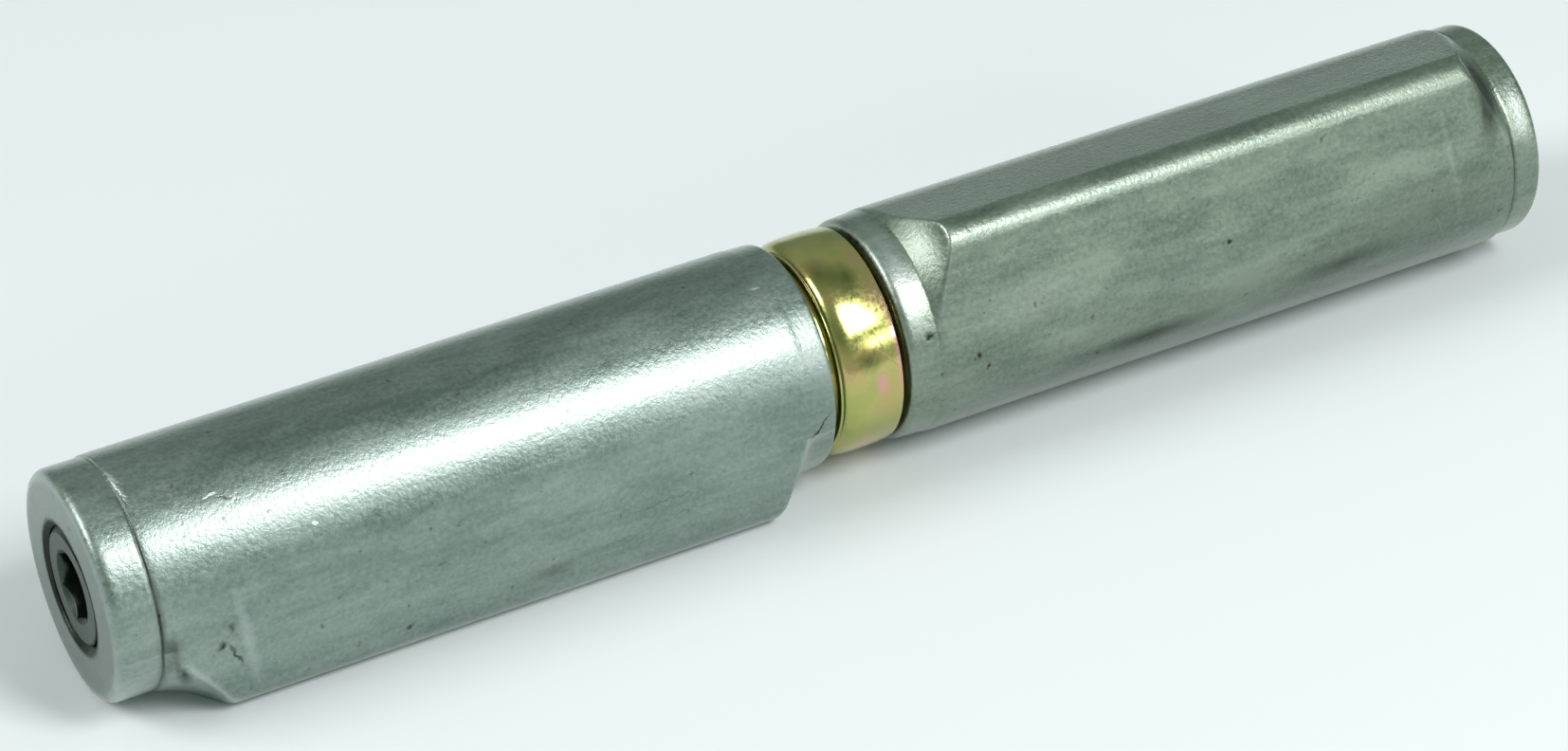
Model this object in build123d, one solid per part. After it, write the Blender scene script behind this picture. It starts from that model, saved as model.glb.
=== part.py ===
from build123d import *

from build123d.topology import SkipClean
from math import acos, asin, cos, degrees, pi, radians, sin, sqrt
import os

# Weld-on barrel hinge with a drop-shaped section, for doors and gates of steel tube and plate.
# The hinge line runs along X, the upper (door) knuckle lies on the -X side and the lower (frame)
# knuckle on the +X side. The origin is under the middle of the hinge, on the surface it lies on.
# All lengths are millimetres and all angles degrees.

# Section of both knuckles: a round barrel drawn out to a narrow weld edge
barrel_radius = 11.0
tip_reach = 14.3  # from the hinge line to the weld edge
tip_radius = 2.5  # rounding of the weld edge

# Lengths along the hinge line
upper_length = 71.25
lower_length = 70.75
bearing_space = 8.0  # between the two knuckles, filled by the thrust bearing

# How the knuckles are turned about the hinge line: the upper one lies on its flank,
# the lower one has its weld edge pointing upwards
lower_angle = 115.5

# Turned ends of the knuckles: a collar at each face, then a hollow ramp up to the weld edge
inner_relief = 0.15  # how far the collars beside the bearing are turned below the barrel
upper_outer_relief = 0.15
lower_outer_relief = 0.35
upper_inner_collar = 3.05
upper_inner_run = 2.6
upper_inner_hollow = 0.15  # how deep a ramp is hollowed below a straight cone
upper_outer_collar = 4.3
upper_outer_run = 6.2
upper_outer_hollow = 0.6
lower_inner_collar = 3.2
lower_inner_run = 3.1
lower_inner_hollow = 0.25
lower_outer_collar = 3.2
lower_outer_run = 3.8
lower_outer_hollow = 0.4
ramp_over = 0.2  # the ramps run out this far above the weld edge
shoulder_radius = 3.0  # rounding between a ramp and the weld edge
inner_rim_chamfer = 0.35
upper_rim_radius = 1.0
lower_rim_radius = 0.6

# Hinge pin, pressed into the lower knuckle, turning in the bore of the upper one
pin_radius = 6.0
pin_clearance = 0.05
pin_seat = 42.0  # depth of the pin in the lower knuckle
pin_chamfer = 1.0
drill_depth = 1.0  # how far the drilled hole goes on behind the pin

# Set screw M12 in the outer end of the upper knuckle: it sets the height of the door
screw_radius = 6.0
screw_clearance = 0.05
screw_length = 20.0
screw_recess = 0.2  # the screw's face lies this far below the end of the knuckle
screw_point = 1.0  # chamfer at the inner end
screw_face_radius = 5.27
thread_depth = 19.0
mouth_chamfer = 0.2
socket_flats = 6.0
socket_depth = 5.0
socket_dish = 0.1  # widening of the socket's dished mouth beyond the corners of the hexagon
socket_bottom = 1.2  # depth of the drill point under the hexagon

# Ball between the screw and the pin, in a drill point in each of them
pivot_radius = 2.5
pivot_gap = 0.02
pivot_space = 1.0  # between the screw's end and the pin's end
seat_slope = 30.0  # of the drill points and of the ball tracks, against the face they are cut in

# Thrust bearing: two grooved washers, a cage with balls, and a pressed cover
race_bore_clearance = 0.3  # round the pin
race_hook_clearance = 0.1  # between the cover's wall and the flange that its rolled lip holds
race_hook_width = 0.7
race_step_width = 0.4  # of the step in the upper washer's back
race_step_height = 0.4
lower_race_clearance = 0.4  # inside the cover's wall
race_chamfer = 0.2
race_seat_gap = 0.05  # between the upper washer and the upper knuckle
lower_race_gap = 0.02
race_spacing = 0.765  # between the two washers, in ball diameters
ball_count = 12
ball_room = 1.625  # width of the ring that holds a ball, in ball diameters
ball_clearance = 0.05
cage_share = 0.45  # thickness of the cage, in ball diameters
cage_clearance = 0.15  # inside the cover's wall
cage_pocket_clearance = 0.08
shell_setback = 0.45  # of the cover's wall below the barrel
shell_wall = 0.85
shell_shoulder = 1.1  # outer rounding of the cover's rolled shoulder
shell_lip_setback = 0.96  # from the upper knuckle's face to the cover's lip
shell_edge_setback = 0.69  # from the lower knuckle's face to the cover's open edge
shell_seat_gap = 0.02

# Places along the hinge line, worked out from the lengths
total_length = upper_length + bearing_space + lower_length
upper_outer_face = -total_length / 2
upper_inner_face = upper_outer_face + upper_length
lower_inner_face = upper_inner_face + bearing_space
tip_offset = tip_reach - tip_radius
upper_angle = 180 + degrees(asin((barrel_radius - tip_radius) / tip_offset))

screw_face = upper_outer_face + screw_recess
screw_end = screw_face + screw_length
pivot_center = screw_end + pivot_space / 2
pin_end = screw_end + pivot_space
pin_foot = lower_inner_face + pin_seat

shell_lip = upper_inner_face + shell_lip_setback
shell_edge = lower_inner_face - shell_edge_setback

# Radii of the bearing, worked out from the barrel and the pin
shell_radius = barrel_radius - shell_setback
shell_bore = shell_radius - shell_wall
upper_race_hook = shell_bore - race_hook_clearance
upper_race_radius = upper_race_hook - race_hook_width
upper_race_step = upper_race_radius - race_step_width
lower_race_radius = shell_bore - lower_race_clearance
cage_outer_radius = shell_bore - cage_clearance
race_bore = pin_radius + race_bore_clearance
ball_pitch_radius = (race_bore + cage_outer_radius) / 2
ball_radius = (cage_outer_radius - race_bore) / ball_room / 2
cage_thickness = 2 * ball_radius * cage_share

# Places of the washers, on either side of the balls
upper_race_back = upper_inner_face + race_seat_gap
lower_race_back = lower_inner_face - lower_race_gap
ball_plane = (upper_race_back + lower_race_back) / 2
upper_race_front = ball_plane - ball_radius * race_spacing
lower_race_front = ball_plane + ball_radius * race_spacing


def turned(points, radii=0):
    """Solid of revolution about the hinge line; each (x, radius) corner may have its own rounding."""
    outline = FilletPolyline(*points, radius=radii, close=True)
    return revolve(make_face(outline), Axis.X)


def drop_face():
    """Section of a knuckle: barrel circle and weld-edge circle joined by their common tangents."""
    lean = acos((barrel_radius - tip_radius) / tip_offset)
    barrel_top = (barrel_radius * cos(lean), barrel_radius * sin(lean))
    edge_top = (tip_offset + tip_radius * cos(lean), tip_radius * sin(lean))
    barrel_bottom = (barrel_top[0], -barrel_top[1])
    edge_bottom = (edge_top[0], -edge_top[1])
    return make_face(
        [
            Line(barrel_top, edge_top),
            ThreePointArc(edge_top, (tip_reach, 0), edge_bottom),
            Line(edge_bottom, barrel_bottom),
            ThreePointArc(barrel_bottom, (-barrel_radius, 0), barrel_top),
        ]
    )


def knuckle_blank(
    length, turn, inner_collar, inner_run, inner_hollow, outer_collar, outer_run, outer_hollow, relief, rim
):
    """Drop-shaped bar from its inner face at x = 0 to +X, each end turned down to a collar and a ramp.

    The bar keeps a seam where each ramp ends, so the part of a flank that is welded is a plain rectangle.
    """
    inner_radius = barrel_radius - inner_relief
    outer_radius = barrel_radius - relief
    top = tip_reach + ramp_over
    rim_foot = (0, inner_radius - inner_rim_chamfer)
    inner_foot = (inner_collar, inner_radius)
    inner_top = (inner_collar + inner_run, top)
    outer_foot = (length - outer_collar, outer_radius)
    outer_top = (length - outer_collar - outer_run, top)
    outline = [
        Polyline((0, 0), rim_foot, (inner_rim_chamfer, inner_radius), inner_foot),
        SagittaArc(inner_foot, inner_top, -inner_hollow),
        Line(inner_top, outer_top),
        SagittaArc(outer_top, outer_foot, -outer_hollow),
        FilletPolyline(outer_foot, (length, outer_radius), (length, 0), radius=rim),
        Line((length, 0), (0, 0)),
    ]
    profile = make_face(outline)
    shoulders = profile.vertices().filter_by_position(Axis.Y, top - ramp_over, top + ramp_over)
    envelope = revolve(fillet(shoulders, shoulder_radius), Axis.X)
    section = Plane.YZ * Rot(0, 0, turn) * drop_face()
    seams = [0, inner_top[0], outer_top[0], length]
    bars = [Pos(start, 0, 0) * extrude(section, end - start) for start, end in zip(seams, seams[1:])]
    with SkipClean():
        return (bars[0] + bars[1:]) & envelope


def bore(start, end, radius):
    """Round hole along the hinge line, as a solid to take away."""
    return extrude(Plane.YZ.offset(start) * Circle(radius), end - start)


def female_knuckle():
    """Upper knuckle: bored from the inner face for the pin, tapped from the outer end for the screw."""
    blank = knuckle_blank(
        upper_length, upper_angle, upper_inner_collar, upper_inner_run, upper_inner_hollow,
        upper_outer_collar, upper_outer_run, upper_outer_hollow, upper_outer_relief, upper_rim_radius,
    )
    blank = Pos(upper_inner_face, 0, 0) * mirror(blank, Plane.YZ)
    bore_radius = pin_radius + pin_clearance
    thread_end = upper_outer_face + thread_depth
    mouth = upper_outer_face + mouth_chamfer
    hollow = turned(
        [
            (upper_outer_face, 0), (upper_outer_face, screw_radius + mouth_chamfer), (mouth, screw_radius),
            (thread_end, screw_radius), (thread_end, bore_radius), (upper_inner_face, bore_radius),
            (upper_inner_face, 0),
        ]
    )
    with SkipClean():
        return blank - hollow


def male_knuckle():
    """Lower knuckle: a blind hole in the inner face holds the pin, the outer end is plain."""
    blank = knuckle_blank(
        lower_length, lower_angle, lower_inner_collar, lower_inner_run, lower_inner_hollow,
        lower_outer_collar, lower_outer_run, lower_outer_hollow, lower_outer_relief, lower_rim_radius,
    )
    blank = Pos(lower_inner_face, 0, 0) * blank
    with SkipClean():
        return blank - bore(lower_inner_face, pin_foot + drill_depth, pin_radius)


def ball_seat(x, orbit, radius):
    """Vee-shaped seat round balls that sit at a distance from the hinge line, as a solid to take away."""
    depth = radius / cos(radians(seat_slope))
    width = radius / sin(radians(seat_slope))
    corners = [(x - depth, orbit), (x, orbit + width), (x + depth, orbit)]
    if orbit > 0:
        corners.append((x, orbit - width))
    return turned(corners)


def hinge_pin():
    """Ground pin with a chamfer at each end and a drill point for the pivot ball."""
    pin = bore(pin_end, pin_foot, pin_radius)
    pin = chamfer(pin.edges().filter_by(GeomType.CIRCLE), pin_chamfer)
    return pin - ball_seat(pivot_center, 0, pivot_radius + pivot_gap)


def set_screw():
    """Grub screw: a hexagon socket with a dished mouth outside, a drill point for the pivot ball inside."""
    radius = screw_radius - screw_clearance
    corner_radius = socket_flats / 2 / cos(pi / 6)
    mouth_radius = corner_radius + socket_dish
    socket_end = screw_face + socket_depth
    rim_chamfer = radius - screw_face_radius
    body = turned(
        [
            (screw_face, 0), (screw_face, screw_face_radius), (screw_face + rim_chamfer, radius),
            (screw_end - screw_point, radius), (screw_end, radius - screw_point), (screw_end, 0),
        ]
    )
    hexagon = extrude(Plane.YZ.offset(screw_face) * RegularPolygon(corner_radius, 6), socket_depth)
    dish = Pos(screw_face - mouth_radius, 0, 0) * Rot(0, 90, 0) * Sphere(sqrt(2) * mouth_radius)
    point = turned([(socket_end, 0), (socket_end, socket_flats / 2), (socket_end + socket_bottom, 0)])
    return body - hexagon - dish - point - ball_seat(pivot_center, 0, pivot_radius + pivot_gap)


def upper_race():
    """Upper washer: its flange is held by the cover, its stepped back faces the upper knuckle."""
    hook_back = shell_lip + shell_wall + shell_seat_gap
    step = upper_race_back + race_step_height
    washer = turned(
        [
            (upper_race_back, race_bore), (upper_race_back, upper_race_step - race_chamfer),
            (upper_race_back + race_chamfer, upper_race_step), (step, upper_race_step),
            (step, upper_race_radius - race_chamfer), (step + race_chamfer, upper_race_radius),
            (hook_back, upper_race_radius), (hook_back, upper_race_hook),
            (upper_race_front, upper_race_hook), (upper_race_front, race_bore),
        ]
    )
    return washer - ball_seat(ball_plane, ball_pitch_radius, ball_radius + ball_clearance)


def lower_race():
    """Lower washer, lying on the face of the lower knuckle."""
    washer = turned(
        [
            (lower_race_back, race_bore), (lower_race_back, lower_race_radius - race_chamfer),
            (lower_race_back - race_chamfer, lower_race_radius),
            (lower_race_front + race_chamfer, lower_race_radius),
            (lower_race_front, lower_race_radius - race_chamfer), (lower_race_front, race_bore),
        ]
    )
    return washer - ball_seat(ball_plane, ball_pitch_radius, ball_radius + ball_clearance)


def bearing_shell():
    """Pressed cover: a tube with a rolled shoulder that turns in to a lip behind the upper washer."""
    lip_radius = upper_race_radius + shell_seat_gap
    lip_inside = shell_lip + shell_wall
    return turned(
        [
            (shell_lip, lip_radius), (shell_lip, shell_radius), (shell_edge, shell_radius),
            (shell_edge, shell_bore), (lip_inside, shell_bore), (lip_inside, lip_radius),
        ],
        [0, shell_shoulder, 0, 0, 0, 0],
    )


def ball_place(number):
    """Where one ball of the bearing sits, counted round the hinge line."""
    angle = 2 * pi * number / ball_count
    return Pos(ball_plane, ball_pitch_radius * cos(angle), ball_pitch_radius * sin(angle))


def ball_cage():
    """Flat ring with a pocket for each ball."""
    start = ball_plane - cage_thickness / 2
    cage = bore(start, start + cage_thickness, cage_outer_radius)
    cage -= bore(start, start + cage_thickness, race_bore)
    pocket = Rot(0, 90, 0) * Cylinder(ball_radius + cage_pocket_clearance, 2 * cage_thickness)
    for number in range(ball_count):
        cage -= ball_place(number) * pocket
    return cage


parts = {
    "female_knuckle": female_knuckle(),
    "male_knuckle": male_knuckle(),
    "hinge_pin": hinge_pin(),
    "set_screw": set_screw(),
    "pivot_ball": Pos(pivot_center, 0, 0) * Sphere(pivot_radius),
    "bearing_shell": bearing_shell(),
    "upper_race": upper_race(),
    "lower_race": lower_race(),
    "ball_cage": ball_cage(),
}
for number in range(ball_count):
    parts[f"ball_{number + 1:02d}"] = ball_place(number) * Sphere(ball_radius)

os.makedirs("parts", exist_ok=True)
for name, solid in parts.items():
    lifted = Pos(0, 0, barrel_radius) * solid
    export_step(lifted, f"parts/{name}.step")
    print(f"{name}: {lifted.volume:.2f} mm3")
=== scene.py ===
# %% [markdown]
# # A weld-on barrel hinge in bare drawn steel
# Two drop-shaped knuckles turn about one pin. A yellow passivated bearing cover sits between them,
# and a grub screw in the end of the upper knuckle sets the height of the door.
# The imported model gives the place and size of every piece. This file gives each piece its skin:
# finer surfaces where the light shows every rounding, and a finish for each metal.

import bmesh
import bpy
import numpy as np
from mathutils import Matrix, Vector


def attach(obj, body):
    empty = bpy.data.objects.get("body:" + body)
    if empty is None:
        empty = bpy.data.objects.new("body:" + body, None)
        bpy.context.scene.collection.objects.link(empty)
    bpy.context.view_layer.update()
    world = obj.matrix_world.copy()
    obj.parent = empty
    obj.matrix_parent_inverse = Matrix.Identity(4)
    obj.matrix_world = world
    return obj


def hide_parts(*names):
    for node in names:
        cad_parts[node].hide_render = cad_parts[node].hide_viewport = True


MM = 0.001
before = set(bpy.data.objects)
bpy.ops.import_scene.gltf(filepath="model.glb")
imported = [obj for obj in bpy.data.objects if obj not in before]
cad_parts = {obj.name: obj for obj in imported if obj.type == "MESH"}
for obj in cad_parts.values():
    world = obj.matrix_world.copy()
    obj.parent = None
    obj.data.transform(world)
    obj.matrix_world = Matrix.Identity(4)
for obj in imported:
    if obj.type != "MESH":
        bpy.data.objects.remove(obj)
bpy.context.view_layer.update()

# %% [markdown]
# ## Camera
# The hinge is seen from its screw end, from a little under half a metre and about 35 degrees above the
# surface. A long lens keeps the far knuckle nearly as large as the near one. The camera is placed in
# millimetres and turned to look along a direction, so no constraint is needed.

# %% Camera
hinge_height = 11.0  # the hinge line lies one barrel radius above the floor
camera_place = (-180.46, -336.44, 283.37)
camera_forward = (0.37724, 0.71729, -0.58581)
camera_roll = np.radians(-1.1)


def camera_pose(place, forward, roll):
    """World matrix of a camera at place that looks along forward, rolled about its own line of sight."""
    turn = Vector(forward).to_track_quat("-Z", "Y").to_matrix().to_4x4()
    return Matrix.Translation(Vector(place) * MM) @ turn @ Matrix.Rotation(roll, 4, "Z")


lens = bpy.data.cameras.new("camera")
lens.sensor_fit = "HORIZONTAL"
lens.sensor_width = 36.0
lens.lens = 114.84
lens.clip_start = 0.01
lens.clip_end = 20.0
camera = bpy.data.objects.new("camera", lens)
bpy.context.scene.collection.objects.link(camera)
camera.matrix_world = camera_pose(camera_place, camera_forward, camera_roll)
bpy.context.scene.camera = camera
print("camera at", tuple(round(c, 3) for c in camera.location))

# %% [markdown]
# ## Colours and nodes
# Colours are written as sRGB hex values, as a paint chart gives them. The renderer reckons in linear
# light, so one function turns them. A material is a list of nodes, each added by one helper that sets
# its values and links its inputs in one line, and so the list reads from top to bottom.

# %% Colours and nodes


def colour(code):
    """Linear RGBA of an sRGB hex colour, by the sRGB curve."""
    value = np.array([int(code[i : i + 2], 16) for i in (1, 3, 5)]) / 255
    linear = np.where(value <= 0.04045, value / 12.92, ((value + 0.055) / 1.055) ** 2.4)
    return (*linear, 1.0)


def add_node(tree, kind, inputs=None, **settings):
    """Adds a node with its settings; each input is linked if it is given a socket, and set otherwise."""
    made = tree.nodes.new(kind)
    for name, value in settings.items():
        setattr(made, name, value)
    for name, value in (inputs or {}).items():
        if isinstance(value, bpy.types.NodeSocket):
            tree.links.new(value, made.inputs[name])
        else:
            made.inputs[name].default_value = value
    return made


def new_material(name):
    """A node material with an empty Principled shader wired to its output."""
    material = bpy.data.materials.new(name)
    material.use_nodes = True
    tree = material.node_tree
    tree.nodes.clear()
    shader = add_node(tree, "ShaderNodeBsdfPrincipled")
    add_node(tree, "ShaderNodeOutputMaterial", {"Surface": shader.outputs["BSDF"]})
    return material, tree, shader


print("white is", colour("#FFFFFF"))

# %% [markdown]
# ## Floor, room and lamps
# The hinge lies on a matt white sheet. A large soft lamp stands in front of it, to the right and above,
# and draws the broad white band along the barrel. A second one to the left lights the face of the screw
# end and the ramps that look that way. A small low one in front gives the cover its lower glint. The
# room around is a dim green-grey, which is what the steel shows everywhere else: it is lighter near the
# floor and overhead than in between. Lamps and room together light a white surface to about white, so
# colours come out as they are written.

# %% Lamps
lamp_aim = Vector((-10, 0, hinge_height)) * MM
lamp_tint = (1.0, 0.96, 1.0)  # a little less green, since the room adds some


def soft_lamp(name, towards, distance, size, power):
    """Rectangular lamp in the given direction from the hinge, facing it. distance and size are in metres."""
    data = bpy.data.lights.new(name, "AREA")
    data.shape = "RECTANGLE"
    data.size, data.size_y = size
    data.energy = power
    data.color = lamp_tint
    lamp = bpy.data.objects.new(name, data)
    bpy.context.scene.collection.objects.link(lamp)
    offset = Vector(towards).normalized() * distance
    facing = (-offset).to_track_quat("-Z", "Y").to_matrix().to_4x4()
    lamp.matrix_world = Matrix.Translation(lamp_aim + offset) @ facing


soft_lamp("front lamp", (0.29, -0.56, 0.72), 0.75, (0.212, 0.337), 3.5)
soft_lamp("left lamp", (-0.73, 0.18, 0.64), 1.0, (0.425, 0.425), 4.85)
soft_lamp("low lamp", (0.55, -0.79, 0.37), 0.6, (0.22, 0.08), 0.38)
print("lamps:", [light.name for light in bpy.data.lights])

# %% Room and floor
world = bpy.data.worlds.new("room")
world.use_nodes = True
tree = world.node_tree
ray = add_node(tree, "ShaderNodeTexCoord").outputs["Generated"]
# The height of a direction, plus a quarter of how far it leads behind the hinge.
height = add_node(tree, "ShaderNodeVectorMath", {0: ray, 1: (0.0, 0.25, 1.0)}, operation="DOT_PRODUCT")
room = add_node(tree, "ShaderNodeValToRGB", {"Fac": height.outputs["Value"]})
room.color_ramp.elements[0].color = colour("#B9C4BF")
room.color_ramp.elements[1].position = 0.80
room.color_ramp.elements[1].color = colour("#A2AEA8")
room.color_ramp.elements.new(0.30).color = colour("#7B8C81")
tree.links.new(room.outputs["Color"], tree.nodes["Background"].inputs["Color"])
bpy.context.scene.world = world

floor_half = 3.0
floor_mesh = bpy.data.meshes.new("floor")
floor_mesh.from_pydata([(-floor_half, -floor_half, 0), (floor_half, -floor_half, 0),
                        (floor_half, floor_half, 0), (-floor_half, floor_half, 0)], [], [(0, 1, 2, 3)])
floor = bpy.data.objects.new("floor", floor_mesh)
bpy.context.scene.collection.objects.link(floor)
paper, tree, shader = new_material("matt white paper")
shader.inputs["Base Color"].default_value = colour("#E1E8E8")
shader.inputs["Roughness"].default_value = 0.9
shader.inputs["Specular IOR Level"].default_value = 0.2
floor_mesh.materials.append(paper)
bpy.context.scene.view_settings.view_transform = "Standard"
print("floor:", 2 * floor_half, "m square")

# %% [markdown]
# ## Skins as grids
# Everything on this hinge was drawn, turned or pressed round one line, so each skin is a grid: rows
# along an outline in the plane through the hinge line, columns round the line. The radius of each
# point is the smaller of two simple functions, the drawn section and the turned outline. A soft
# minimum in place of a sharp one rounds the edge where the two cuts meet, as tumbling does.

# %% Outlines and grids
MERGE = 1e-7  # metres; the points of a pole are nearer to each other than this


def outline(corners, arc_rows=7):
    """Rows (x, radius) along an outline. A corner is (x, radius, rounding, rows): it becomes a parabola that
    is tangent to both of its runs, and the run to the next corner is divided evenly into its rows."""
    points = np.array([corner[:2] for corner in corners], float)
    pieces = []
    start = points[0]
    for i in range(1, len(corners)):
        run = points[i] - points[i - 1]
        length = np.hypot(*run)
        rounding = corners[i][2]
        end = points[i] - run / length * rounding
        steps = np.linspace(0, 1, corners[i - 1][3], endpoint=False)[:, None]
        pieces.append(start + (end - start) * steps)
        start = end
        if rounding:
            following = points[i + 1] - points[i]
            leave = points[i] + following / np.hypot(*following) * rounding
            t = np.linspace(0, 1, arc_rows, endpoint=False)[:, None]
            pieces.append((1 - t) ** 2 * end + 2 * t * (1 - t) * points[i] + t**2 * leave)
            start = leave
    pieces.append(points[-1:])
    return np.concatenate(pieces)


def hollow(start, end, depth, leave, rows=16):
    """Corners of a ramp from start to end that is hollowed: the chord minus depth times a parabola. None of
    them lies nearer to the upper end than leave, where that corner's own rounding starts."""
    t = np.linspace(0, 1, rows)
    chord = np.array(end, float) - start
    sideways = np.array([-chord[1], chord[0]]) / np.hypot(*chord)
    sideways *= -np.sign(sideways[1])
    points = np.array(start) + t[:, None] * chord + (4 * depth * t * (1 - t))[:, None] * sideways
    top = points[np.argmax(points[:, 1])]
    clear = np.hypot(*(points - top).T) > leave
    return [(x, r, 0, 1) for x, r in points[1:-1][clear[1:-1]]]


def soft_min(a, b, rounding):
    """The smaller of a and b, less a fillet: minus k times the logarithm of the summed exponentials."""
    low = np.minimum(a, b)
    return low - rounding * np.log1p(np.exp(-np.abs(a - b) / rounding))


def grid_skin(name, along, radius, angles, closed, marks):
    """Mesh of the points (along, radius cos angle, radius sin angle + hinge height), in millimetres. along
    and radius are arrays of rows by columns. A closed outline joins its last row to its first; an open one
    ends in a pole at each end. marks are named values for each point."""
    rows, columns = radius.shape
    points = np.stack([along, radius * np.cos(angles), radius * np.sin(angles) + hinge_height], -1)
    points = points.reshape(-1, 3)
    row = np.arange(rows if closed else rows - 1)[:, None]
    column = np.arange(columns)[None, :]
    after = (column + 1) % columns
    below = (row + 1) % rows
    quads = np.stack([row * columns + column, row * columns + after,
                      below * columns + after, below * columns + column], -1).reshape(-1, 4)
    # The volume between the faces and the middle is negative if the faces point inwards.
    first, second, third = (points[quads[:, i]] for i in range(3))
    swept = np.einsum("ij,ij->i", first - points.mean(0), np.cross(second - first, third - first))
    if swept.sum() < 0:
        quads = quads[:, ::-1]
    mesh = bpy.data.meshes.new(name)
    mesh.from_pydata(points * MM, [], quads.tolist())
    for label, values in marks.items():
        layer = mesh.attributes.new(label, "FLOAT", "POINT")
        layer.data.foreach_set("value", np.broadcast_to(values, radius.shape).astype(np.float32).ravel())
    mesh.shade_smooth()
    skin = bpy.data.objects.new(name, mesh)
    bpy.context.scene.collection.objects.link(skin)
    if not closed:
        body = bmesh.new()
        body.from_mesh(mesh)
        bmesh.ops.remove_doubles(body, verts=body.verts, dist=MERGE)
        body.to_mesh(mesh)
        body.free()
    print(name, "faces:", len(mesh.polygons))
    return skin


# %% [markdown]
# ## The drawn section
# Both knuckles are cut from the same drop-shaped bar: a round barrel of 11 mm radius with two flat
# flanks that run together to a narrow edge, where the weld goes. Seen from the hinge line its radius
# is a plain function of the angle: the barrel, then the flank, then the rounded edge.

# %% Section of the bar
KNUCKLE_COLUMNS = 340
barrel_radius = 11.0
tip_reach = 14.3
tip_radius = 2.5
tip_offset = tip_reach - tip_radius
lean = np.arccos((barrel_radius - tip_radius) / tip_offset)  # from the weld edge to a flank's normal
edge_from = np.arctan2(tip_radius * np.sin(lean), tip_offset + tip_radius * np.cos(lean))
round_angles = np.linspace(0, 2 * np.pi, KNUCKLE_COLUMNS, endpoint=False)
round_degrees = np.degrees(round_angles)


def drop_radius(angle):
    """Radius of the drawn section at an angle from its weld edge: the barrel's radius beyond the flank's
    normal, the flank's distance over the cosine of the angle to its normal, and the circle of the edge."""
    turn = np.abs((angle + np.pi) % (2 * np.pi) - np.pi)
    flank = barrel_radius / np.cos(np.clip(turn - lean, -1.2, 1.2))
    tip = tip_offset * np.cos(turn) + np.sqrt(np.maximum(tip_radius**2 - (tip_offset * np.sin(turn)) ** 2, 0))
    return np.where(turn > lean, barrel_radius, np.where(turn > edge_from, flank, tip))


print("widest radius:", round(float(drop_radius(round_angles).max()), 3))

# %% [markdown]
# ## The thread
# A coarse M12 thread joins the grub screw and the upper knuckle. Its helix is one function of place
# and angle: the phase is the distance along the line over the pitch, less the turn over a full
# circle. The screw and its hole share that phase, so their ridges fit each other.

# %% Thread
thread_pitch = 1.75
thread_crest = 5.95
thread_root = 4.95
thread_flat = 0.125  # of a half pitch, at the crest and at the root
thread_play = 0.04


def thread_radius(along, angle):
    """Radius on a right-hand thread: a triangle wave of the phase, with flattened crests and roots."""
    phase = (along / thread_pitch - angle / (2 * np.pi)) % 1
    ridge = np.clip((1 + 2 * thread_flat) * (1 - np.abs(2 * phase - 1)) - thread_flat, 0, 1)
    return thread_root + (thread_crest - thread_root) * ridge


print("thread depth:", round(thread_crest - thread_root, 2), "mm")

# %% [markdown]
# ## Knuckles
# A length of drop bar was put in a lathe and each end was turned down to a round collar. The tool left
# a hollow ramp up to the weld edge, a fine step where the collar starts, and rims that tumbling
# rounded. So the skin is the drop section cut by a turned outline. Angles round the hinge line start
# straight behind it and go over the top: 90 degrees is up and 180 is the front. Two named values go
# with the skin. One brightens: wear on edges that stand proud, and a painted highlight on the step's lip
# where it faces up. The other darkens: painted shade in the groove of the step, on the end face and in
# the bore, and a darker patch in each neck.

# %% Knuckle skins
upper_length = 71.25
lower_length = 70.75
upper_outer_face = -75.0
upper_inner_face = upper_outer_face + upper_length
lower_outer_face = 75.0
lower_inner_face = lower_outer_face - lower_length
upper_turn = np.pi + np.arcsin((barrel_radius - tip_radius) / tip_offset)  # of the weld edge: flank down
lower_turn = np.radians(115.5)
collar_radius = 10.85
ramp_top = 14.5  # just beyond the weld edge, so between the ramps nothing is turned off
edge_rounding = 0.05
step_wander = 0.10


def ripple(angle, seed, waves=(3, 7, 12, 19)):
    """Smooth waviness round the line, about -1 to 1: a sum of sines whose phases follow from the seed."""
    phases = np.random.default_rng(seed).uniform(0, 2 * np.pi, len(waves))
    return sum(np.sin(k * angle + p) / (i + 1) for i, (k, p) in enumerate(zip(waves, phases))) / 1.6


def bell(value, middle, width):
    """Gauss curve of height 1 about the middle."""
    return np.exp(-(((value - middle) / width) ** 2))


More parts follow.
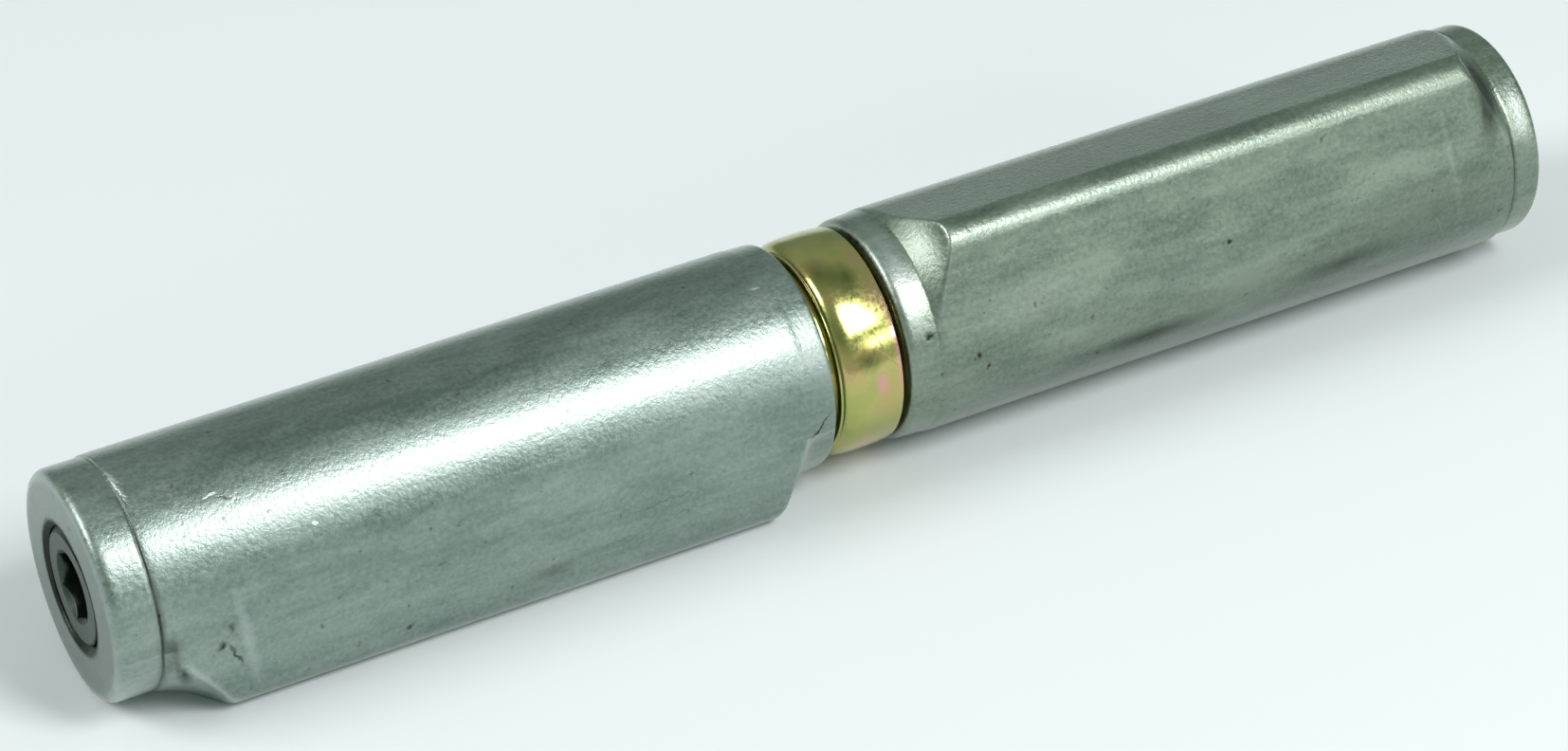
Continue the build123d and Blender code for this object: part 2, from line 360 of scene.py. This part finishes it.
def knuckle(name, corners, face, way, turn, step_at, seed, neck_blot, tap=None):
    """Skin of a knuckle: radius is the soft minimum of the drop section and the turned outline. corners are
    measured from the inner face; the step at the outer collar wanders a little round the line. Its groove is
    painted dark as shade, except from straight behind over the top. The darker patch in the neck is given as
    (depth, degrees, half along, half round). With tap, which cuts the thread, the outline runs through the
    bore and closes on itself."""
    bored = tap is not None
    rows = outline(corners)
    if bored:
        rows = rows[:-1]
    depth, turned = rows[:, :1], rows[:, 1:]
    depth = depth + step_wander * ripple(round_angles, seed) * bell(depth, step_at, 0.5)
    along = face + way * depth
    section = np.broadcast_to(drop_radius(round_angles - turn), depth.shape)
    radius = soft_min(section, turned, edge_rounding)
    if bored:
        radius = tap(along, radius)
    # Rubbed bright: the edge where the two cuts meet and the rims. A painted highlight on the step's lip
    # where it faces up.
    outside = (turned > 9.0) & (depth > 0.02)
    edge = outside * bell(section - turned, 0, 0.22) * (section > barrel_radius + 0.05)
    rim = outside * bell(turned, collar_radius - 0.4, 0.3)
    lip_highlight = 0.9 * bell(depth, step_at - 0.4, 0.3) * bell(round_degrees, 95, 7)
    wear_and_highlight = np.clip((1.0 if bored else 0.4) * edge + 0.3 * rim + lip_highlight, 0, 1)
    # Painted shade in the step's groove from the front downwards, on the end face and in the bore; and a
    # darker patch in the neck.
    groove_shade = bell(depth, step_at, 0.16 + 0.14 * bell(round_degrees, 205, 30))
    groove_shade = groove_shade * np.clip((round_degrees - 100) / 15, 0, 1)
    groove_shade = groove_shade * (0.75 + 0.25 * ripple(round_angles, seed + 1))
    blot_depth, blot_degrees, half_along, half_round = neck_blot
    blot = bell(depth, blot_depth, half_along) * bell(round_degrees, blot_degrees, half_round)
    ragged = 1.0 + 0.25 * ripple(2 * round_angles + 0.7 * depth, seed + 2)
    shade_and_blots = outside * np.maximum(groove_shade, np.clip(1.6 * blot * ragged - 0.2, 0, 1))
    if bored:
        # Painted shade: the end face is darker, and the bore, the mouth and the thread are darker still.
        face_and_bore_shade = np.where(turned < 6.3, 1.2, 0.4 * np.clip((collar_radius - 0.8 - turned) / 0.4, 0, 1))
        shade_and_blots = np.where(outside & (turned > 9.9), shade_and_blots, face_and_bore_shade)
    return grid_skin(name, along, radius, round_angles, bored, {"wear_and_highlight": wear_and_highlight, "shade_and_blots": shade_and_blots})


# %% Upper knuckle
pin_bore = 6.05
tap_drill = 5.0
mouth_depth = 4.2  # of the hole's thread; the rest of it is always filled by the screw
upper_step = upper_length - 4.3
upper_corners = [
    # Bore, inner collar and its ramp
    (34.0, pin_bore, 0, 6), (0.0, pin_bore, 0, 6),
    (0.0, collar_radius, 0.45, 6), (3.05, 10.98, 0.8, 1),
    *hollow((3.85, 11.8), (5.65, ramp_top), 0.1, 1.45),
    # Weld edge, outer ramp, step and outer collar
    (5.65, ramp_top, 1.4, 44), (upper_step - 6.2, ramp_top, 1.4, 1),
    *hollow((upper_step - 6.2, ramp_top), (upper_step - 0.12, barrel_radius), 0.6, 1.45),
    (upper_step - 0.12, barrel_radius, 0.03, 1), (upper_step, collar_radius - 0.08, 0.03, 2),
    (upper_step + 0.25, collar_radius, 0, 8), (upper_length, collar_radius, 1.1, 8),
    # Countersink, tapped mouth, and back into the bore
    (upper_length, 6.2, 0.04, 16), (upper_length - 1.2, tap_drill, 0, 50),
    (upper_length - mouth_depth, tap_drill, 0, 1), (upper_length - mouth_depth, pin_bore, 0, 6),
    (34.0, pin_bore, 0, 1),
]


def cut_thread(along, radius):
    """Opens the mouth to the thread: the larger of the outline and the thread's radius, inside the hole."""
    thread = thread_radius(along, round_angles) + thread_play
    inside = (radius < thread_crest + 0.05) & (along < upper_outer_face + mouth_depth + 0.05)
    return np.where(inside, np.maximum(radius, thread), radius)


upper_skin = knuckle("upper_knuckle", upper_corners, upper_inner_face, -1, upper_turn, upper_step, 4,
                     (upper_step - 0.9, 191.0, 0.6, 11.0), cut_thread)

# %% Lower knuckle
seat_bore = 6.01
lower_collar_radius = 10.65
lower_step = lower_length - 3.2
lower_corners = [
    # The pin's hole, inner collar and its ramp
    (43.0, 0.0, 0, 2), (43.0, seat_bore, 0, 3), (0.0, seat_bore, 0, 6),
    (0.0, 10.74, 0.8, 6), (3.2, 10.9, 0.15, 1),
    *hollow((3.7, 11.3), (6.3, ramp_top), 0.25, 0.75),
    # Weld edge, outer ramp, step, outer collar and the closed end
    (6.3, ramp_top, 0.7, 44), (lower_step - 3.8, ramp_top, 1.4, 1),
    *hollow((lower_step - 3.8, ramp_top), (lower_step - 0.35, barrel_radius), 0.4, 1.45),
    (lower_step - 0.35, barrel_radius, 0.03, 1), (lower_step, lower_collar_radius - 0.1, 0.03, 2),
    (lower_step + 0.25, lower_collar_radius, 0, 8), (lower_length, lower_collar_radius, 0.7, 8),
    (lower_length, 0.0, 0, 2),
]
lower_skin = knuckle("lower_knuckle", lower_corners, lower_inner_face, 1, lower_turn, lower_step, 9,
                     (lower_step - 2.2, 124.0, 1.4, 22.0))
for skin, node, body in ((upper_skin, "female_knuckle", "upper"), (lower_skin, "male_knuckle", "lower")):
    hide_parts(node)
    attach(skin, body)

# %% [markdown]
# ## Grub screw
# The screw is blackened, with its face worn bright. Its outline is a turned one too: the thread ends
# in a bevel, and the hexagon socket is a radius that follows six flats, which is half the key's width
# over the cosine of the angle to the nearest flat. A cone in its inner end holds the pivot ball.

# %% Screw skin
SCREW_COLUMNS = 360
socket_half = 3.0
socket_depth = 5.0
dish_depth = 0.55
screw_length = 20.0
screw_face = upper_outer_face + 0.2
screw_angles = np.linspace(0, 2 * np.pi, SCREW_COLUMNS, endpoint=False)
sixth = np.pi / 3
hexagon = socket_half / np.cos((screw_angles + sixth / 2) % sixth - sixth / 2)
screw_corners = [
    # The socket's drill point, its wall, and the dish round its mouth
    (6.2, 0.0, 0, 6), (socket_depth, socket_half, 0, 10),
    (dish_depth, socket_half, 0, 6), (0.0, 3.56, 0.04, 10),
    # Face, bevel, thread, and the cone for the ball
    (0.0, 5.27, 0.08, 10), (0.68, thread_crest, 0, 66),
    (4.33, thread_crest, 0, 24), (screw_length - 1.0, thread_crest, 0, 3),
    (screw_length, thread_root, 0, 3), (screw_length, 4.17, 0, 8), (17.59, 0.0, 0, 1),
]
screw_rows = outline(screw_corners)
screw_depth, screw_turned = screw_rows[:, :1], screw_rows[:, 1:]
screw_along = np.broadcast_to(screw_face + screw_depth, (len(screw_rows), SCREW_COLUMNS))
first_outside = np.argmax(screw_rows[:, 1] > 4.2)
inner = np.arange(len(screw_rows))[:, None] < first_outside
socket = np.where(screw_depth < socket_depth, hexagon, hexagon * screw_turned / socket_half)
dished = np.maximum(socket, np.where(screw_depth < dish_depth, screw_turned, 0))
threaded = np.minimum(screw_turned, thread_radius(screw_along, screw_angles))
screw_radius = np.where(inner, dished, threaded)
screw_wear = 0.15 * bell(screw_depth, 0, 0.12) * (screw_turned > 3.4)
# Painted shade: darker down into the socket, and along the thread from just past the face.
screw_shade = inner * np.clip(screw_depth / 0.6, 0, 1) + ~inner * np.clip(screw_depth / 0.12, 0, 1)
screw_skin = grid_skin("grub_screw", screw_along, screw_radius, screw_angles, False,
                       {"wear_and_highlight": screw_wear, "shade_and_blots": screw_shade})
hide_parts("set_screw")
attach(screw_skin, "screw")

# %% [markdown]
# ## Bearing cover
# The cover was pressed from a strip: a short tube whose one edge rolls over a round shoulder and in
# behind the upper washer. It is a turned outline of one wall's thickness, closed on itself. Its tube is
# a little crowned, widest in the middle. Pressing leaves the wall a few hundredths out of round, and
# that makes the reflections waver.

# %% Cover skin
COVER_COLUMNS = 480
shell_radius = 10.55
shell_wall = 0.85
shell_bore = shell_radius - shell_wall
shell_lip = upper_inner_face + 0.96
shell_edge = lower_inner_face - 0.69
shell_length = shell_edge - shell_lip
lip_radius = 8.95
crown_height = 0.13
shell_corners = [  # inside to the lip, round the shoulder, and along the outside to the open edge
    (2.0, shell_bore, 0, 3), (shell_wall, shell_bore, 0.08, 2),
    (shell_wall, lip_radius, 0.0, 3), (0.0, lip_radius, 0.15, 4),
    (0.0, shell_radius, 1.7, 24), (shell_length, shell_radius, 0.12, 4),
    (shell_length, shell_bore, 0.1, 4), (2.0, shell_bore, 0, 1),
]
shell_rows = outline(shell_corners, 16)[:-1]
shell_depth, shell_turned = shell_rows[:, :1], shell_rows[:, 1:]
crown = np.where(shell_turned > shell_bore + 0.1, crown_height * ((shell_depth - 3.6) / 2.6) ** 2, 0)
shell_along = np.broadcast_to(shell_lip + shell_depth, (len(shell_rows), COVER_COLUMNS))
shell_angles = np.linspace(0, 2 * np.pi, COVER_COLUMNS, endpoint=False)
out_of_round = 0.012 * ripple(shell_angles, 3, (2, 3, 5, 9)) - 0.014
shell_radii = shell_turned - crown + out_of_round
shell_skin = grid_skin("bearing_cover", shell_along, shell_radii, shell_angles, True, {})
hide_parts("bearing_shell")
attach(shell_skin, "bearing_top")

# %% [markdown]
# ## Marks of handling, and painted light
# Dents, pits, scratches and stains sit at fixed places on a piece. Each is an ellipsoid in the
# material: a Mapping node moves and turns Object coordinates so that the mark becomes a ball of radius
# 1, and a spherical gradient fades it out. The coordinates are shaken a little first, so no mark has a
# clean outline. A mark adds to a height, which dents the bump, and to a shade, dark below 0. Some marks
# are painted light: highlights on the upper knuckle's lip and the lower knuckle's collars, shade along
# the lower knuckle's underside, and olive shade on the cover.

# %% Marks
MARK_REACH = 5.0  # mm inwards and outwards, so that the fade only shows along the surface
MARK_TONE = 2.0
# The first two marks, on the step's lip at 95 and 106 degrees, are a painted highlight over a slightly raised
# lip.
UPPER_MARKS = [  # x mm, degrees round the line, half sizes along and round in mm, tilt, height mm, shade
    (-70.3, 95.0, 0.35, 2.4, 4, 0.14, 0.5), (-70.1, 106.0, 0.3, 1.6, 4, 0.08, 0.3),
    (-63.1, 120.5, 0.9, 0.22, 10, -0.04, 0.5), (-62.0, 123.0, 1.0, 0.2, -20, -0.04, -0.4),
    (-61.2, 126.0, 0.6, 0.2, 15, -0.03, 0.4), (-65.4, 194.1, 0.5, 0.8, -15, -0.05, -0.6),
    (-64.1, 201.0, 0.22, 2.1, 26, -0.04, -0.55), (-64.3, 185.2, 0.35, 0.9, 0, -0.04, -0.4),
    (-62.8, 197.0, 0.8, 7.5, 8, 0.03, 0.2), (-47.4, 215.4, 0.45, 0.4, 0, -0.04, -0.8),
    (-49.5, 188.7, 0.3, 0.3, 0, -0.03, -0.2), (-41.0, 190.3, 0.3, 0.3, 0, -0.03, -0.2),
    (-22.0, 196.0, 6.0, 0.12, 3, -0.02, -0.2), (-19.0, 205.0, 5.0, 0.12, -2, -0.02, -0.2),
    (-26.0, 209.0, 4.0, 0.12, 4, -0.02, -0.2), (-7.7, 104.3, 0.6, 0.2, 0, -0.02, 0.8),
    (-5.5, 183.5, 0.16, 2.0, -42, -0.05, -0.9), (-68.9, 205.0, 0.8, 3.0, 10, 0.0, -0.5),
    (-55.0, 147.0, 0.2, 0.2, 0, -0.02, 0.4), (-33.0, 213.0, 3.0, 0.9, 0, 0.0, -0.3),
]
# (30, 196), (52, 190), (22, 200) and (54, 200) are painted shade: they darken the barrel towards its
# underside.
# (5.8, 114) and (73.4, 139) are painted highlights on the inner and the outer collar; the inner collar is
# also rubbed bright there.
LOWER_MARKS = [
    (6.6, 155.0, 0.6, 0.5, 0, -0.04, -0.7), (11.3, 172.4, 0.5, 0.3, 50, -0.04, -0.7),
    (12.3, 180.2, 0.6, 0.3, 60, -0.03, -0.6), (39.1, 156.8, 0.4, 0.25, 60, -0.04, -0.8),
    (73.4, 139.0, 0.9, 3.6, 0, 0.0, 0.25), (69.6, 114.0, 0.4, 0.35, 0, -0.03, -0.3),
    (5.8, 114.0, 1.8, 9.0, 0, 0.0, 0.35), (64.8, 162.0, 0.6, 9.0, 5, 0.02, 0.1),
    (63.0, 187.0, 0.12, 1.8, 30, -0.02, 0.2), (30.0, 196.0, 9.0, 1.6, 0, 0.0, -0.35),
    (52.0, 190.0, 8.0, 1.8, 4, 0.0, -0.3), (20.0, 178.0, 7.0, 1.4, -4, 0.0, 0.1),
    (46.0, 170.0, 6.0, 1.2, 5, 0.0, 0.1), (18.0, 158.0, 7.0, 4.0, 0, 0.0, 0.1),
    (22.0, 200.0, 42.0, 13.0, 0, 0.0, -0.08), (54.0, 200.0, 42.0, 13.0, 0, 0.0, -0.08),
    (62.0, 176.0, 10.0, 5.0, 0, 0.0, -0.15), (34.0, 168.0, 12.0, 4.0, 0, 0.0, 0.1),
]


def add_marks(tree, place, marks, radius, height, shade):
    """Adds marks at a radius to a height and a shade, sockets or numbers. Returns the two sums."""
    for x, degrees_round, half_along, half_round, tilt, rise, tone in marks:
        angle = np.radians(degrees_round)
        centre = Vector((x, radius * np.cos(angle), radius * np.sin(angle) + hinge_height)) * MM
        turn = Matrix.Rotation(angle, 3, "X") @ Matrix.Rotation(np.radians(tilt), 3, "Y")
        size = (half_along * MM, MARK_REACH * MM, half_round * MM)
        local = add_node(tree, "ShaderNodeMapping", {"Vector": place, "Location": centre,
                                                     "Rotation": turn.to_euler(), "Scale": size},
                         vector_type="TEXTURE").outputs[0]
        fade = add_node(tree, "ShaderNodeTexGradient", {"Vector": local},
                        gradient_type="SPHERICAL").outputs["Fac"]
        height = add_node(tree, "ShaderNodeMath", {0: fade, 1: rise, 2: height},
                          operation="MULTIPLY_ADD").outputs[0]
        shade = add_node(tree, "ShaderNodeMath", {0: fade, 1: MARK_TONE * tone, 2: shade},
                         operation="MULTIPLY_ADD").outputs[0]
    return height, shade


print("marks:", len(UPPER_MARKS), "on the upper knuckle,", len(LOWER_MARKS), "on the lower one")

# %% [markdown]
# ## Bare steel
# Drawn mild steel, tumbled after turning: a grey with a green cast, satin, clouded, with a fine grain
# of small pits that makes the edge of each reflection ragged. It is a metal, so its base colour is its
# reflection at a right angle, and the default IOR stays. Two greys are mixed by slow clouds, by streaks
# along the bar and by the grain. Edges that stand proud are rubbed bright, and the same bright steel paints
# highlights; a dark oxide colour paints shade in grooves, on end faces and in bores, along with dark marks.
# A film of oil lies over the clean steel, so a sharper glint sits in each soft one; where the dark oxide
# colour is thick, and on the blackened and the ground steel, there is none.

# %% Steel
GRAIN = 0.45  # mm across a pit of the grain
CLOUD = 4.0  # mm across a cloud
STREAK = 0.8  # mm across a streak left by drawing
PIT = 0.8  # mm between deeper pits
RAGGED = 0.7  # mm across a wave in the outline of a mark
SHAKE = 0.9  # mm by which such a wave moves it
RUBBED_AND_HIGHLIGHT_STEEL = "#C6CFCA"
DARK_OXIDE_AND_SHADE = "#343A32"


def steel(name, dark, light, rough_low, rough_high, relief, marks=(), oil=1.0):
    """Bare steel between two greys. relief is the grain's depth in millimetres, oil the film's weight."""
    material, tree, shader = new_material(name)
    place = add_node(tree, "ShaderNodeTexCoord").outputs["Object"]
    drawn = add_node(tree, "ShaderNodeMapping", {"Vector": place, "Scale": (0.35, 1.0, 1.0)}).outputs[0]
    clouds = add_node(tree, "ShaderNodeTexNoise", {"Vector": drawn, "Scale": 1 / (CLOUD * MM), "Detail": 4.0,
                                                   "Roughness": 0.6}).outputs["Fac"]
    grain = add_node(tree, "ShaderNodeTexNoise", {"Vector": place, "Scale": 1 / (GRAIN * MM), "Detail": 3.0,
                                                  "Roughness": 0.65}).outputs["Fac"]
    lines = add_node(tree, "ShaderNodeMapping", {"Vector": place, "Scale": (0.15, 1.0, 1.0)}).outputs[0]
    streaks = add_node(tree, "ShaderNodeTexNoise", {"Vector": lines, "Scale": 1 / (STREAK * MM),
                                                    "Detail": 2.0}).outputs["Fac"]
    pitted = add_node(tree, "ShaderNodeTexNoise", {"Vector": place, "Scale": 1 / (PIT * MM),
                                                   "Detail": 1.0}).outputs["Fac"]
    pits = add_node(tree, "ShaderNodeMapRange", {"Value": pitted, "From Min": 0.20, "From Max": 0.27,
                                                 "To Min": -0.5, "To Max": 0.0}).outputs[0]

    # Marks, in coordinates that waves shake about their own place.
    waves = add_node(tree, "ShaderNodeTexNoise", {"Vector": place, "Scale": 1 / (RAGGED * MM),
                                                  "Detail": 3.0}).outputs["Color"]
    moved = add_node(tree, "ShaderNodeVectorMath", {0: waves, 1: [SHAKE * MM] * 3, 2: place},
                     operation="MULTIPLY_ADD").outputs[0]
    shaken = add_node(tree, "ShaderNodeVectorMath", {0: moved, 1: [SHAKE / 2 * MM] * 3},
                      operation="SUBTRACT").outputs[0]
    height = add_node(tree, "ShaderNodeMath", {0: grain, 1: relief}, operation="MULTIPLY").outputs[0]
    height, shade = add_marks(tree, shaken, marks, barrel_radius, height, pits)

    # Two greys. A Mix node's sockets for colours are inputs 6 and 7 and output 2.
    patches = add_node(tree, "ShaderNodeMath", {0: streaks, 1: 0.3, 2: clouds},
                       operation="MULTIPLY_ADD").outputs[0]
    mixed = add_node(tree, "ShaderNodeMath", {0: grain, 1: 0.7, 2: patches},
                     operation="MULTIPLY_ADD").outputs[0]
    blend = add_node(tree, "ShaderNodeMapRange", {"Value": mixed, "From Min": 0.78,
                                                  "From Max": 1.22}).outputs[0]
    tone = add_node(tree, "ShaderNodeMix", {0: blend, 6: colour(dark), 7: colour(light)},
                    data_type="RGBA").outputs[2]

    # Above 0, rubbed bright and painted highlights; below 0, dark oxide and painted shade.
    wear_and_highlight = add_node(tree, "ShaderNodeAttribute", attribute_name="wear_and_highlight").outputs["Fac"]
    shade_and_blots = add_node(tree, "ShaderNodeAttribute", attribute_name="shade_and_blots").outputs["Fac"]
    wear_highlight_and_marks = add_node(tree, "ShaderNodeMath", {0: wear_and_highlight, 1: 0.55, 2: shade},
                      operation="MULTIPLY_ADD").outputs[0]
    lightened_and_darkened = add_node(tree, "ShaderNodeMath", {0: shade_and_blots, 1: -0.85, 2: wear_highlight_and_marks},
                       operation="MULTIPLY_ADD").outputs[0]
    bright = add_node(tree, "ShaderNodeMath", {0: lightened_and_darkened, 1: 0.0}, operation="MAXIMUM",
                      use_clamp=True).outputs[0]
    oxide_and_shade = add_node(tree, "ShaderNodeMath", {0: lightened_and_darkened, 1: -1.0}, operation="MULTIPLY",
                     use_clamp=True).outputs[0]
    tone = add_node(tree, "ShaderNodeMix", {0: bright, 6: tone, 7: colour(RUBBED_AND_HIGHLIGHT_STEEL)},
                    data_type="RGBA").outputs[2]
    tone = add_node(tree, "ShaderNodeMix", {0: oxide_and_shade, 6: tone, 7: colour(DARK_OXIDE_AND_SHADE)},
                    data_type="RGBA").outputs[2]
    tree.links.new(tone, shader.inputs["Base Color"])

    # Gloss: a metal, with the oil where the dark oxide colour, real or painted shade, is absent.
    shader.inputs["Metallic"].default_value = 1.0
    film = add_node(tree, "ShaderNodeMath", {0: oxide_and_shade, 1: -oil, 2: oil}, operation="MULTIPLY_ADD").outputs[0]
    tree.links.new(film, shader.inputs["Coat Weight"])
    shader.inputs["Coat Roughness"].default_value = 0.2
    rough = add_node(tree, "ShaderNodeMapRange", {"Value": mixed, "From Min": 0.75, "From Max": 1.25,
                                                  "To Min": rough_low, "To Max": rough_high}).outputs[0]
    tree.links.new(rough, shader.inputs["Roughness"])
    raised = add_node(tree, "ShaderNodeBump", {"Strength": 1.0, "Distance": MM, "Height": height})
    tree.links.new(raised.outputs["Normal"], shader.inputs["Normal"])
    tree.links.new(raised.outputs["Normal"], shader.inputs["Coat Normal"])
    return material


# Tumbled steel is satin and mottled. Blackening leaves a thin dark oxide, as satin but without oil.
# Ground steel is smoother and paler: the pin, the balls and the cage mirror their surroundings, softly.
upper_steel = steel("tumbled mild steel, upper", "#6E8077", "#94A49B", 0.34, 0.52, 0.045, UPPER_MARKS)
lower_steel = steel("tumbled mild steel, lower", "#637565", "#8C9C8A", 0.34, 0.52, 0.045, LOWER_MARKS)
black_steel = steel("blackened steel", "#3A4642", "#505C57", 0.35, 0.50, 0.010, oil=0.0)
ground_steel = steel("ground steel", "#A2A9A5", "#B9BFBB", 0.18, 0.28, 0.004, oil=0.0)
upper_skin.data.materials.append(upper_steel)
lower_skin.data.materials.append(lower_steel)
screw_skin.data.materials.append(black_steel)
print("steels:", [m.name for m in bpy.data.materials if "steel" in m.name])

# %% [markdown]
# ## Yellow passivated zinc
# Zinc plate dipped in chromate: a thin clear film over bright zinc, gold, with patches where the film
# is thicker and turns olive or pink; the darker olive patches are painted shade where the cover mirrors
# the dim room. The gloss is that of the zinc, so the roughness is low, and the film is a clear coat over
# it. Handling has left hair-fine scratches across it.

# %% Passivated zinc
FILM_CLOUD = 3.5  # mm across a cloud in the film
FILM_GRAIN = 0.4  # mm across a grain of the zinc
PINK_FILM = "#D8A392"
OLIVE_SHADE = "#5E6634"
# The three marks below 0, at 106, 113 and 157 degrees, are painted shade: olive where the cover mirrors the
# dim room.
COVER_MARKS = [  # as for the knuckles; a shade above 0 is pink and one below is olive
    (1.3, 172.0, 0.9, 1.6, 10, 0.0, 0.9), (0.2, 214.0, 1.2, 1.5, 0, 0.0, 0.5),
    (3.3, 150.0, 0.35, 8.0, 0, 0.0, 0.6), (2.6, 116.0, 1.6, 5.0, 0, 0.0, 0.25),
    (3.4, 165.0, 0.3, 6.0, 0, 0.0, 0.5), (-1.2, 106.0, 1.8, 2.6, 0, 0.0, -0.4),
    (1.0, 113.0, 2.2, 2.4, 0, 0.0, -0.45), (0.2, 157.0, 1.8, 1.6, -15, 0.0, -0.4),
    (1.8, 152.0, 0.05, 2.2, 20, -0.02, 0.0), (0.4, 158.0, 0.05, 1.8, -35, -0.02, 0.0),
    (2.4, 160.0, 0.05, 2.6, 40, -0.02, 0.0), (-0.6, 140.0, 0.05, 1.6, 25, -0.02, 0.0),
    (1.0, 120.0, 0.05, 2.4, -30, -0.02, 0.0), (0.6, 113.0, 0.3, 0.3, 0, -0.02, 0.0),
    (0.2, 190.0, 0.12, 6.0, 3, -0.015, 0.0),
]


def passivated(name, marks=()):
    """Gold film over zinc. Slow clouds move it between olive and gold; marks turn it pink, and darker olive
    as painted shade.
    """
    material, tree, shader = new_material(name)
    place = add_node(tree, "ShaderNodeTexCoord").outputs["Object"]
    clouds = add_node(tree, "ShaderNodeTexNoise", {"Vector": place, "Scale": 1 / (FILM_CLOUD * MM),
                                                   "Detail": 2.0}).outputs["Fac"]
    fine = add_node(tree, "ShaderNodeTexNoise", {"Vector": place, "Scale": 1 / (FILM_GRAIN * MM),
                                                 "Detail": 2.0}).outputs["Fac"]
    height = add_node(tree, "ShaderNodeMath", {0: fine, 1: 0.004}, operation="MULTIPLY").outputs[0]
    height, shade = add_marks(tree, place, marks, shell_radius, height, 0.0)
    film = add_node(tree, "ShaderNodeValToRGB", {"Fac": clouds})
    film.color_ramp.elements[0].position = 0.30
    film.color_ramp.elements[0].color = colour("#A5AC60")
    film.color_ramp.elements[1].position = 0.75
    film.color_ramp.elements[1].color = colour("#C4AA70")
    film.color_ramp.elements.new(0.52).color = colour("#B9B46C")
    pink = add_node(tree, "ShaderNodeMath", {0: shade, 1: 0.75}, operation="MULTIPLY",
                    use_clamp=True).outputs[0]
    # Below 0, a mark is painted shade, in olive.
    olive_shade = add_node(tree, "ShaderNodeMath", {0: shade, 1: -1.0}, operation="MULTIPLY",
                     use_clamp=True).outputs[0]
    tone = add_node(tree, "ShaderNodeMix", {0: pink, 6: film.outputs[0], 7: colour(PINK_FILM)},
                    data_type="RGBA").outputs[2]
    tone = add_node(tree, "ShaderNodeMix", {0: olive_shade, 6: tone, 7: colour(OLIVE_SHADE)},
                    data_type="RGBA").outputs[2]
    tree.links.new(tone, shader.inputs["Base Color"])
    shader.inputs["Metallic"].default_value = 1.0
    shader.inputs["Coat Weight"].default_value = 0.4
    shader.inputs["Coat Roughness"].default_value = 0.12
    rough = add_node(tree, "ShaderNodeMapRange", {"Value": fine, "From Min": 0.3, "From Max": 0.7,
                                                  "To Min": 0.14, "To Max": 0.26}).outputs[0]
    tree.links.new(rough, shader.inputs["Roughness"])
    raised = add_node(tree, "ShaderNodeBump", {"Strength": 1.0, "Distance": MM, "Height": height})
    tree.links.new(raised.outputs["Normal"], shader.inputs["Normal"])
    return material


cover_gold = passivated("yellow passivated zinc, cover", COVER_MARKS)
washer_gold = passivated("yellow passivated zinc")
shell_skin.data.materials.append(cover_gold)
print("zinc:", cover_gold.name, "and", washer_gold.name)

# %% [markdown]
# ## Inner pieces
# The pin, the balls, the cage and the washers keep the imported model's own shapes, which are right as
# they are: plain turned pieces that show only when the knuckles are taken apart. They only get their
# metals, ground steel or passivated zinc.

# %% Inner pieces
# The twelve bearing balls are named ball_01 and on, so they are found by the start of their name.
inner_finish = {"hinge_pin": ground_steel, "pivot_ball": ground_steel, "upper_race": washer_gold,
                "lower_race": washer_gold, "ball_cage": ground_steel}
for name, node_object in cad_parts.items():
    finish = inner_finish.get(name, ground_steel if name.startswith("ball_") else None)
    if finish:
        node_object.data.materials.clear()
        node_object.data.materials.append(finish)
print("finished:", sorted(inner_finish))
